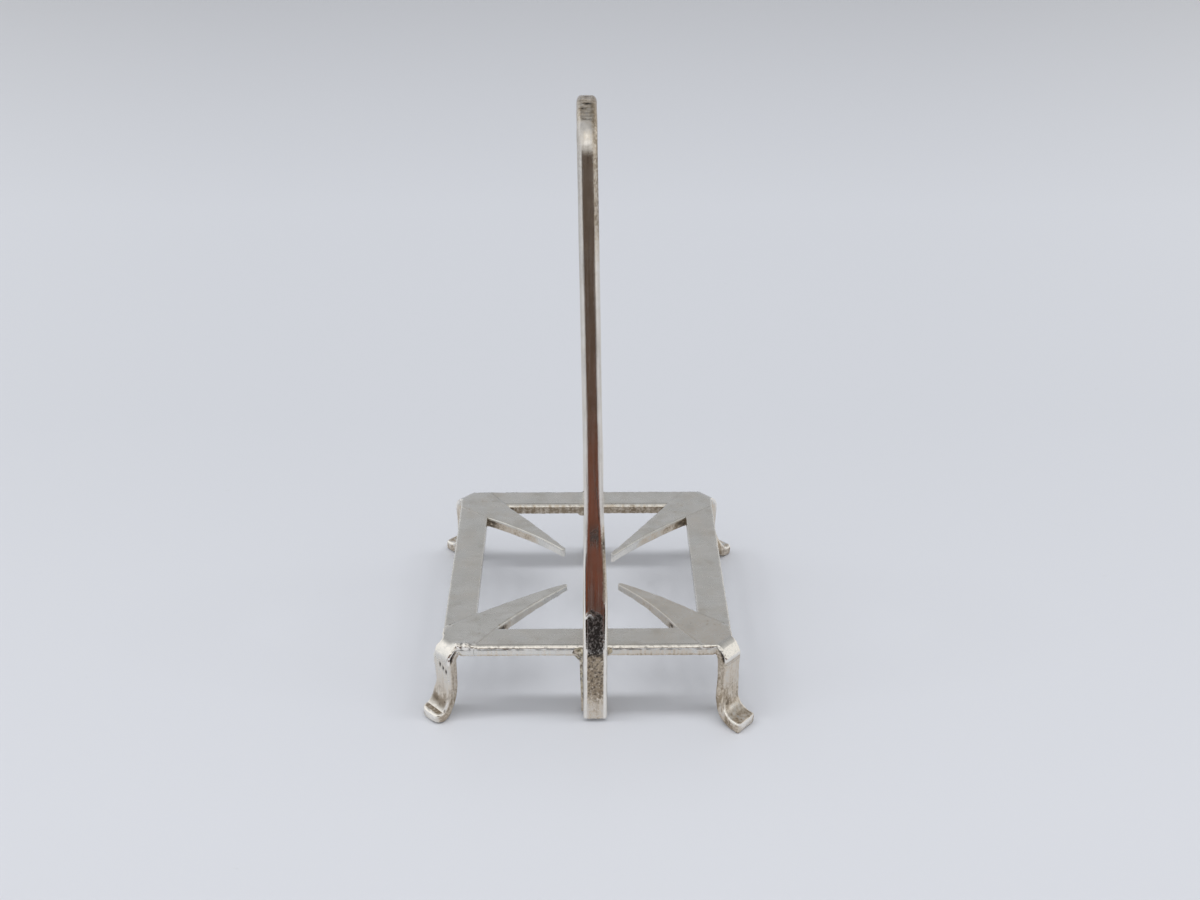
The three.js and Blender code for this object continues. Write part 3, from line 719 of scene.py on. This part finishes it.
def add_hoop():
    """The hoop handle, from its front end over the crown to its rear end."""
    points, faces, (side, height, turned, outer, front) = hoop_points()
    flat = smooth((0.92 - np.abs(side)) / 0.14)
    centre = smooth((0.55 - np.abs(side)) / 0.2)
    hammered = sum(hump(turned, place, 1.1) for place in HAMMER_TILTS) * outer * centre
    kink = hump(height, FRAME_TOP + 1.5, 2.0)
    end = smooth((FRAME_TOP + 0.2 - height) / 0.5)
    layers = [
        (0.012, 5.0, 31, 1),
        (0.02, 1.2, 32, kink * centre),
        (0.02, 0.4, 33, kink * centre * 0.5 + end),
        (0.012, 0.2, 34, end * outer),
        (0.03, 1.4, 35, smooth((height - 55) / 3)),
        (0.03, 0.5, 36, smooth((turned - 20) / 10) * outer),
    ]
    points = roughen(points, faces, layers)
    points[:, 2] -= hammered * HAMMER_DEPTH
    blotch = ripple(points, 0.8, 37)
    long_streak = ripple(points, (0.25, 4.0, 4.0), 38)
    speck = ripple(points, 0.25, 40)
    scale, blister = scale_and_dark_reflection(side, height, front, blotch, speck)
    points[:, 1] -= BLISTER_RELIEF * blister

    thinned = 0.5 * spots(ripple(points, (0.14, 0.14, 0.24), 42), 2.4, -0.2)
    # Black scale, partly a painted dark reflection, and dark hammer marks on the crown
    soot_and_shade = scale * (1 - thinned) + hammered * (0.6 + 1.6 * blotch + 0.5 * speck)
    # Painted dark reflection across the front
    soot_and_shade = soot_and_shade + 0.6 * front * hump(height, DARK_REFLECTION_HEIGHT, 1.0) * centre
    soot_and_shade = soot_and_shade + 0.3 * front * np.clip(long_streak, 0, 1)
    rise = (height - SCRATCH_FOOT) / SCRATCH_LENGTH
    scratch = hump(side, mix(0.5, 0.25, rise), 0.05) * smooth(rise * 8 + 0.5) * smooth((1 - rise) * 4) * front
    specks = hump(np.abs(side), 0.7, 0.14) * hump(height, SPECKS_HEIGHT, 1.8)
    soot_and_shade = soot_and_shade + 0.7 * scratch + specks * spots(speck, 2.4, -0.7, 0.8) * front
    fine_speck = ripple(points, (0.16, 0.16, 0.3), 41)
    end_soot = spots(fine_speck, 2.2, 0, 0.6) * smooth((height - 1.4) / 3.0)
    soot_and_shade = soot_and_shade + end * flat * outer * end_soot
    worn = end * mix(0.34 + 0.2 * long_streak, 1, smooth((height - 1.8) / 2.4)) * outer * flat
    crown = smooth((turned - 44) / 16) * outer * (0.6 + 0.5 * blotch)
    brown_centre = smooth((turned - 28) / 3) * smooth((40 - turned) / 3)
    brown_centre = brown_centre * smooth((0.36 - np.abs(side)) / 0.12) * outer
    right_low = smooth((height - RIGHT_STAIN[0]) / 1.5) * smooth((RIGHT_STAIN[1] - height) / 1)
    right_low = right_low * hump(side, 0.95, 0.22) * front
    right_high = smooth((height - 47) / 6) * smooth((side - 0.3) / 0.4) * (1.1 + 0.4 * blotch)
    # A painted dark reflection along the right edge, near the same height
    soot_and_shade = soot_and_shade + 0.8 * right_low * hump(height, 20.4, 0.9)
    soot_and_shade = soot_and_shade + 0.12 * right_high + 0.12 * crown
    soot_and_shade = soot_and_shade + 0.22 * hump(height, 54, 3.2) * smooth((side - 0.4) / 0.3)
    soot_and_shade = soot_and_shade + 0.16 * smooth((height - 40) / 10) * smooth((-side - 0.4) / 0.2)
    aged = smooth((height - 16) / 12)
    tarnish = worn + 0.8 * crown + 0.2 * brown_centre + 0.75 * right_low + 0.5 * right_high
    tarnish = tarnish + (1 - flat) * (0.12 + 0.08 * (side > 0)) * aged + 0.1 * (blotch + 0.5) - blister
    # Painted highlights, partly rubbed wear, on the side bevels and on the blister's rim
    polish_and_highlight = (1 - flat) * (1 - 0.85 * aged) + 0.6 * blister - right_low - right_high - soot_and_shade - 2 * scale
    # Painted highlight on the crown's face, dimmed at its edges
    crown_highlight_patch = smooth((turned - 24) / 4) * smooth((46 - turned) / 4) * outer
    polish_and_highlight = polish_and_highlight + crown_highlight_patch * (0.8 * hump(side, 0, 0.34) - 0.3)
    return add_mesh("hoop", points, faces, tarnish, soot_and_shade, polish_and_highlight)


def lug_rows(end):
    """Heights of a lug's rows and its width at each, flared at the front and with a shoulder at the rear."""
    length = LUG_TOP - HOOP_END
    if end < 0:
        height = np.linspace(HOOP_END, LUG_TOP, int(length / STEP))
        drop = LUG_TOP - height
        rest = np.clip(LUG_FLARE - drop, 0, LUG_FLARE)
        return height, mix(*FRONT_LUG, drop / length) + LUG_FLARE - np.sqrt(LUG_FLARE**2 - rest**2)
    step = 0.002
    shoulder = LUG_TOP - SHOULDER_DROP
    below = np.linspace(HOOP_END, shoulder - step, int((length - SHOULDER_DROP) / STEP))
    above = np.linspace(shoulder, LUG_TOP, int(3 * SHOULDER_DROP / STEP))
    rest = np.clip(1 - (above - shoulder) / SHOULDER_ROUND, 0, 1)
    above_width = SHOULDER_LUG_WIDTH - SHOULDER_ROUND * (1 - np.sqrt(1 - rest**2))
    below_width = mix(*REAR_LUG, (LUG_TOP - below) / length)
    return np.concatenate([below, above]), np.concatenate([below_width, above_width])


def add_lug(name, end, seed):
    """end is -1 at the front and 1 at the rear."""
    height, width = lug_rows(end)
    rows = len(height)
    edge = np.full(rows, 0.1)
    half_tall = np.full(rows, SHEET / 2)
    across, up = rounded_ring(width / 2, half_tall, [(edge, edge)] * 4, flats=(12, 8), turn_steps=3)
    x = LUG_RIGHT - width[:, None] / 2 + across
    y = end * (HALF_DEPTH - SHEET / 2 + up)
    points = np.stack([x, y, np.repeat(height[:, None], across.shape[1], axis=1)], axis=2).reshape(-1, 3)
    faces = loft_faces(*across.shape, flipped=end < 0)
    points = roughen(points, faces, [(0.02, 1.3, seed, 1), (0.012, 0.4, seed + 1, 1)])
    blotch = ripple(points, 1.0, seed + 2)
    soot_and_shade = spots(blotch, 1.5, -0.4, 0.6)
    return add_mesh(name, points, faces, 0.6 + 0.4 * blotch, soot_and_shade, np.zeros(len(points)))


# How far below the frame's top, and how wide and how proud the solder is there, as shares of its box
LEFT_SOLDER = (
    (0.1, 0.35, 0.4),
    (0.35, 0.8, 0.9),
    (0.9, 1, 1),
    (1.3, 0.7, 0.95),
    (1.9, 0.3, 0.75),
    (4.5, 0.24, 0.5),
    (7, 0.1, 0.2),
)
RIGHT_SOLDER = ((0.1, 0.4, 0.4), (0.3, 0.85, 0.85), (0.65, 1, 1), (0.95, 0.85, 0.85), (1.15, 0.4, 0.4))
SOLDER_ROWS = 48
SOLDER_HOLLOW = 0.42


def add_solder(name, node, seed):
    """A small uneven blob in the corner beside the hoop, within the box of the fillet that it stands for."""
    low, high = box_mm(node)
    left = "left" in node
    rear = "rear" in node
    corner = np.array([high[0] if left else low[0], low[1] if rear else high[1]])
    away = np.array([-1 if left else 1, 1 if rear else -1])
    height = np.linspace(low[2], high[2], SOLDER_ROWS)
    below, widths, depths = zip(*(LEFT_SOLDER if left else RIGHT_SOLDER))
    ended = mix(0.3, 1, smooth((height - low[2]) / 0.4))
    width = (high[0] - low[0]) * np.interp(FRAME_TOP - height, below, widths) * ended
    depth = (high[1] - low[1]) * np.interp(FRAME_TOP - height, below, depths) * ended
    arc = np.linspace(0, 1, 13)
    hollow = 1 - SOLDER_HOLLOW * np.sin(arc * math.pi)
    edge = np.zeros((SOLDER_ROWS, 1))
    ring_x = np.concatenate([edge, np.outer(width, np.cos(arc * math.pi / 2) * hollow)], axis=1)
    ring_y = np.concatenate([edge, np.outer(depth, np.sin(arc * math.pi / 2) * hollow)], axis=1)
    ring_z = np.repeat(height[:, None], ring_x.shape[1], axis=1)
    x = corner[0] + away[0] * ring_x
    y = corner[1] + away[1] * ring_y
    points = np.stack([x, y, ring_z], axis=2).reshape(-1, 3)
    faces = loft_faces(*ring_x.shape, flipped=away[0] * away[1] < 0)
    free = smooth((np.minimum(ring_x, ring_y).reshape(-1) - 0.02) / 0.1)
    points = roughen(points, faces, [(0.035, 0.35, seed, free), (0.025, 0.15, seed + 1, free)])
    dark, shine = (0.2, 0.2) if left else (0.1, -0.3)
    tarnish = 0.3 + 0.9 * ripple(points, 0.4, seed + 2)
    soot_and_shade = dark + ripple(points, 0.25, seed + 3) * 1.5
    polish_and_highlight = ripple(points, 0.3, seed + 4) + shine
    return add_mesh(name, points, faces, tarnish, soot_and_shade, polish_and_highlight)


def add_node(tree, kind, inputs=None, **settings):
    """A shader node. inputs maps a socket to a value or to the socket that feeds it."""
    made = tree.nodes.new(kind)
    for key, value in settings.items():
        setattr(made, key, value)
    for key, value in (inputs or {}).items():
        if isinstance(value, bpy.types.NodeSocket):
            tree.links.new(value, made.inputs[key])
        else:
            made.inputs[key].default_value = value
    return made


def add_math(tree, operation, *values, clamp=False):
    made = add_node(tree, "ShaderNodeMath", dict(enumerate(values)), operation=operation, use_clamp=clamp)
    return made.outputs[0]


def add_spread(tree, value, low, high):
    """A value spread from 0 at low to 1 at high."""
    return add_node(tree, "ShaderNodeMapRange", {0: value, 1: low, 2: high}).outputs[0]


def add_noise(tree, stretch, scale, detail, low, high):
    """Noise over the object, stretched along its axes, spread from 0 at low to 1 at high."""
    place = add_node(tree, "ShaderNodeTexCoord").outputs["Object"]
    mapped = add_node(tree, "ShaderNodeMapping", {"Vector": place, "Scale": stretch}).outputs[0]
    grain = add_node(tree, "ShaderNodeTexNoise", {"Vector": mapped, "Scale": scale, "Detail": detail})
    return add_spread(tree, grain.outputs[0], low, high)


def mix_colour(tree, share, a, b):
    """Colour a at share 0 and b at share 1. Each is a colour or the socket that gives it."""
    made = add_node(tree, "ShaderNodeMix", {0: share}, data_type="RGBA")
    for socket, value in ((made.inputs[6], a), (made.inputs[7], b)):
        if isinstance(value, bpy.types.NodeSocket):
            tree.links.new(value, socket)
        else:
            socket.default_value = (*value, 1)
    return made.outputs[2]


def add_cover(tree, mark, grain, least):
    """The share that a mark covers: the mark, weakened to its least share where the grain is low."""
    amount = add_node(tree, "ShaderNodeAttribute", attribute_name=mark).outputs["Fac"]
    weight = add_math(tree, "MULTIPLY_ADD", grain, 2 * (1 - least), least)
    return add_math(tree, "MULTIPLY", amount, weight, clamp=True)


def add_material(name):
    """A material and its node tree."""
    material = bpy.data.materials.new(name)
    material.use_nodes = True
    return material, material.node_tree


BUMP_DEPTH = 0.03
LEAST_ROUGHNESS = 0.08


def add_silver(name, clean, cloudy, rough, streaks, bump):
    """Cloudy, streaked and stained silver, browned, blackened or rubbed bright where the mesh is marked. The
    blackening also paints shade and dark reflections, and the rubbing also paints highlights.
    """
    material, tree = add_material(name)
    shader = tree.nodes["Principled BSDF"]
    shader.inputs["Metallic"].default_value = 1
    cloud = add_noise(tree, (1, 1, 1), 420, 4, 0.35, 0.7)
    fine = add_noise(tree, (1, 1, 1), 4200, 4, 0.32, 0.68)
    stain = add_noise(tree, (1, 1, 1), 600, 4, 0.55, 0.8)
    streak = add_noise(tree, streaks, 1, 3, 0.3, 0.75)
    brown = add_cover(tree, "tarnish", fine, 0.5)
    blackened_and_shaded = add_cover(tree, "soot_and_shade", fine, 0.65)
    rubbed_and_highlight = add_cover(tree, "polish_and_highlight", fine, 0.6)
    colour = mix_colour(tree, cloud, clean, cloudy)
    colour = mix_colour(tree, add_math(tree, "MULTIPLY", streak, 0.12), colour, (0.45, 0.43, 0.4))
    colour = mix_colour(tree, add_math(tree, "MULTIPLY", stain, 0.35), colour, (0.4, 0.36, 0.29))
    tarnished = mix_colour(tree, cloud, (0.34, 0.268, 0.19), (0.47, 0.39, 0.29))
    thin = add_math(tree, "MULTIPLY", brown, 2.1, clamp=True)
    thick = add_math(tree, "MULTIPLY_ADD", brown, 1.7, -0.7, clamp=True)
    colour = mix_colour(tree, thin, colour, (0.71, 0.625, 0.515))
    colour = mix_colour(tree, thick, colour, tarnished)
    # Rubbed bright silver, which also paints highlights
    colour = mix_colour(tree, rubbed_and_highlight, colour, (0.95, 0.915, 0.85))
    # Black soot, which also paints shade and dark reflections
    colour = mix_colour(tree, blackened_and_shaded, colour, (0.05, 0.044, 0.04))
    tree.links.new(colour, shader.inputs["Base Color"])
    uneven = add_math(tree, "MULTIPLY_ADD", streak, rough[1] - rough[0], rough[0])
    worn = add_math(tree, "MULTIPLY", add_math(tree, "MAXIMUM", brown, blackened_and_shaded), 0.22)
    dull = add_math(tree, "ADD", uneven, worn)
    smoothed = add_math(tree, "MULTIPLY_ADD", rubbed_and_highlight, -0.14, dull)
    roughness = add_math(tree, "MAXIMUM", smoothed, LEAST_ROUGHNESS, clamp=True)
    tree.links.new(roughness, shader.inputs["Roughness"])
    raised = add_math(tree, "MULTIPLY", add_math(tree, "ADD", brown, blackened_and_shaded), fine)
    height = add_math(tree, "ADD", add_math(tree, "MULTIPLY", raised, 2.0), streak)
    relief = {"Height": height, "Strength": bump, "Distance": BUMP_DEPTH * MM}
    bumped = add_node(tree, "ShaderNodeBump", relief)
    tree.links.new(bumped.outputs[0], shader.inputs["Normal"])
    return material


def add_emitter(name, colour):
    """A glow on the upper side alone, so that the floor beneath mirrors nothing of it."""
    material, tree = add_material(name)
    tree.nodes.clear()
    glow = add_node(tree, "ShaderNodeEmission", {"Color": (*colour, 1)})
    clear = add_node(tree, "ShaderNodeBsdfTransparent")
    below = add_node(tree, "ShaderNodeNewGeometry").outputs["Backfacing"]
    one_sided = add_node(tree, "ShaderNodeMixShader", {0: below, 1: glow.outputs[0], 2: clear.outputs[0]})
    add_node(tree, "ShaderNodeOutputMaterial", {"Surface": one_sided.outputs[0]})
    return material


def add_plane(name, corners, material):
    """A flat sheet of the stage, with its corners in millimetres."""
    mesh = bpy.data.meshes.new(name)
    mesh.from_pydata(np.array(corners) * MM, [], [(0, 1, 2, 3)])
    mesh.materials.append(material)
    plane = add_object(name, mesh)
    return plane


# The floor's reach, and where painted shade makes it darker behind the object and again far behind it
FLOOR_REACH = 3000
FLOOR_SHADE_BACK = (-30, 50)
FLOOR_SHADE_FAR = (140, 340)


def add_floor():
    """A pale, slightly glossy sheet with a little dust, with painted shade that darkens it towards the back.
    """
    material, tree = add_material("pale_floor")
    shader = tree.nodes["Principled BSDF"]
    shader.inputs["Roughness"].default_value = 0.3
    place = add_node(tree, "ShaderNodeTexCoord").outputs["Object"]
    backwards = add_node(tree, "ShaderNodeSeparateXYZ", {0: place}).outputs["Y"]
    far = add_spread(tree, backwards, FLOOR_SHADE_FAR[0] * MM, FLOOR_SHADE_FAR[1] * MM)
    back = add_spread(tree, backwards, FLOOR_SHADE_BACK[0] * MM, FLOOR_SHADE_BACK[1] * MM)
    cloud = add_noise(tree, (1, 1, 1), 8, 3, 0.3, 0.7)
    dust = add_noise(tree, (1, 2.5, 1), 260, 2, 0.76, 0.8)
    colour = mix_colour(tree, cloud, (0.66, 0.68, 0.732), (0.668, 0.688, 0.738))
    # Painted shade: darker behind the object, and darker again far behind it
    colour = mix_colour(tree, back, colour, (0.612, 0.634, 0.684))
    colour = mix_colour(tree, far, colour, (0.462, 0.475, 0.508))
    colour = mix_colour(tree, add_math(tree, "MULTIPLY", dust, 0.12), colour, (0.4, 0.4, 0.42))
    tree.links.new(colour, shader.inputs["Base Color"])
    corners = [(x * FLOOR_REACH, y * FLOOR_REACH, 0) for x, y in ((-1, -1), (1, -1), (1, 1), (-1, 1))]
    add_plane("floor", corners, material)


# Cards in front of the object: name, nearest and farthest edge, and colour
CARD_HALF = 75
CARD_LIFT = 0.15
TABLE_NEAREST = -90
TABLE_FARTHEST = -430
CARDS = (
    ("dark_edge", -58, TABLE_NEAREST, (0.03, 0.026, 0.024)),
    ("brown_table", TABLE_NEAREST, TABLE_FARTHEST, (0.19, 0.066, 0.04)),
    ("dim_table", TABLE_FARTHEST, -FLOOR_REACH, (0.1, 0.062, 0.042)),
)


def add_cards():
    """What the metal mirrors in front: a dark edge and a brown table. Only mirroring surfaces see them."""
    for name, nearest, farthest, colour in CARDS:
        spread = CARD_HALF * max(1, farthest / TABLE_FARTHEST)
        corners = ((-spread, farthest), (spread, farthest), (CARD_HALF, nearest), (-CARD_HALF, nearest))
        card = add_plane(name, [(*corner, CARD_LIFT) for corner in corners], add_emitter(name, colour))
        card.visible_camera = False
        card.visible_diffuse = False
        card.visible_shadow = False
        card.visible_transmission = False
        card.visible_volume_scatter = False


BACKDROP = (0.55, 0.565, 0.6)

# The room's light by its rise from the front horizon over the top to the back horizon, in degrees.
# At the back it is the backdrop, so that the metal mirrors what stands behind it.
ROOM = (
    (0, (0.1, 0.07, 0.052)),
    (9, (0.1, 0.075, 0.058)),
    (17, (0.28, 0.25, 0.22)),
    (24, (0.55, 0.53, 0.5)),
    (33, (1.05, 1.04, 1.02)),
    (46, (0.85, 0.84, 0.82)),
    (60, (0.75, 0.74, 0.73)),
    (75, (0.52, 0.52, 0.52)),
    (90, (0.45, 0.45, 0.45)),
    (104, (0.3, 0.3, 0.3)),
    (120, (0.3, 0.3, 0.31)),
    (140, (0.56, 0.56, 0.57)),
    (165, BACKDROP),
    (180, BACKDROP),
)


def add_world():
    """Soft light from the front and both sides, a dim ceiling and a pale backdrop."""
    world = bpy.data.worlds.new("studio")
    bpy.context.scene.world = world
    world.use_nodes = True
    tree = world.node_tree
    tree.nodes.clear()
    direction = add_node(tree, "ShaderNodeTexCoord").outputs["Generated"]
    axes = add_node(tree, "ShaderNodeSeparateXYZ", {0: direction}).outputs
    rise = add_math(tree, "ARCTAN2", axes["Z"], add_math(tree, "MULTIPLY", axes["Y"], -1.0))
    share = add_math(tree, "DIVIDE", rise, math.pi, clamp=True)
    ramp = add_node(tree, "ShaderNodeValToRGB", {0: share})
    stops = ramp.color_ramp.elements
    while len(stops) < len(ROOM):
        stops.new(1)
    for stop, (angle, colour) in zip(stops, ROOM):
        stop.position = angle / 180
        stop.color = (*colour, 1)
    aside = add_math(tree, "ABSOLUTE", axes["X"])
    side = add_spread(tree, aside, 0.25, 0.6)
    right = add_spread(tree, axes["X"], -0.5, 0.5)
    high = add_spread(tree, axes["Z"], 0.4, 0.65)
    low_side = mix_colour(tree, right, (0.85, 0.86, 0.87), (0.86, 0.855, 0.845))
    high_side = mix_colour(tree, right, (0.95, 0.95, 0.95), (0.55, 0.55, 0.55))
    side_colour = mix_colour(tree, high, low_side, high_side)
    colour = mix_colour(tree, side, ramp.outputs[0], side_colour)
    seen = add_node(tree, "ShaderNodeLightPath").outputs["Is Camera Ray"]
    colour = mix_colour(tree, seen, colour, BACKDROP)
    background = add_node(tree, "ShaderNodeBackground", {"Color": colour})
    add_node(tree, "ShaderNodeOutputWorld", {"Surface": background.outputs[0]})


# A long lamp overhead, from left to right, as lamps that lean this many degrees to the right
LAMP_LEANS = (-38, -25.3, -12.7, 0, 12.7, 25.3, 38)
LAMP_SHARE = 0.063  # of a plain level light, from each lamp
LAMP_SPREAD = 9  # degrees


def add_lamp(name, lean):
    """A distant lamp that no surface mirrors."""
    data = bpy.data.lights.new(name, "SUN")
    data.energy = LAMP_SHARE * math.pi
    data.angle = math.radians(LAMP_SPREAD)
    lamp = add_object(name, data)
    towards = (math.sin(math.radians(lean)), 0, math.cos(math.radians(lean)))
    lamp.rotation_euler = Vector(towards).to_track_quat("Z", "Y").to_euler()
    lamp.visible_glossy = False


def finish_piece(piece, slot, node):
    piece.data.materials.append(METALS[slot])
    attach(piece, "root")
    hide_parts(node)


add_camera()

METALS = {
    "worn_silver": add_silver(
        "metal_worn", (0.715, 0.71, 0.68), (0.645, 0.64, 0.606), (0.24, 0.32), (900, 2600, 1500), 0.05),
    "bright_silver": add_silver(
        "metal_bright", (0.8, 0.775, 0.745), (0.72, 0.69, 0.65), (0.1, 0.24), (7000, 160, 160), 0.2),
    "tarnished_silver": add_silver(
        "metal_tarnished", (0.62, 0.6, 0.56), (0.5, 0.47, 0.42), (0.35, 0.5), (1500, 1500, 1500), 0.4),
    "dull_solder": add_silver(
        "metal_solder", (0.68, 0.61, 0.43), (0.52, 0.44, 0.27), (0.4, 0.6), (2500, 2500, 2500), 0.6),
}

# Inner and outer arris of each rail
RAILS = {
    "front": (SOFT_EDGE, FRONT_ARRIS),
    "right": (SOFT_EDGE, SIDE_ARRIS),
    "rear": (INNER_ARRIS, SIDE_ARRIS),
    "left": (SOFT_EDGE, SIDE_ARRIS),
}
for turn, (side_name, arrises) in enumerate(RAILS.items()):
    rail = add_rail(f"rail_{side_name}", turn, arrises, 10 * turn + 1)
    finish_piece(rail, "worn_silver", f"{side_name}_rail")

for number, (corner_name, corner) in enumerate(CORNERS.items()):
    strip = add_strip(f"leg_{corner_name}", corner, 50 + 10 * number)
    finish_piece(strip, "worn_silver", f"{corner_name}_leg")

finish_piece(add_hoop(), "bright_silver", "hoop_handle")

for end_name, end in (("front", -1), ("rear", 1)):
    lug = add_lug(f"lug_{end_name}", end, 100 + end)
    finish_piece(lug, "tarnished_silver", f"{end_name}_lug")
    for side_name in ("left", "right"):
        node = f"{end_name}_{side_name}_solder"
        blob = add_solder(f"solder_{end_name}_{side_name}", node, 120 + end)
        finish_piece(blob, "dull_solder", node)

add_floor()
add_cards()
add_world()
for number, lean in enumerate(LAMP_LEANS):
    add_lamp(f"strip_lamp_{number}", lean)

bpy.context.scene.view_settings.view_transform = "Standard"
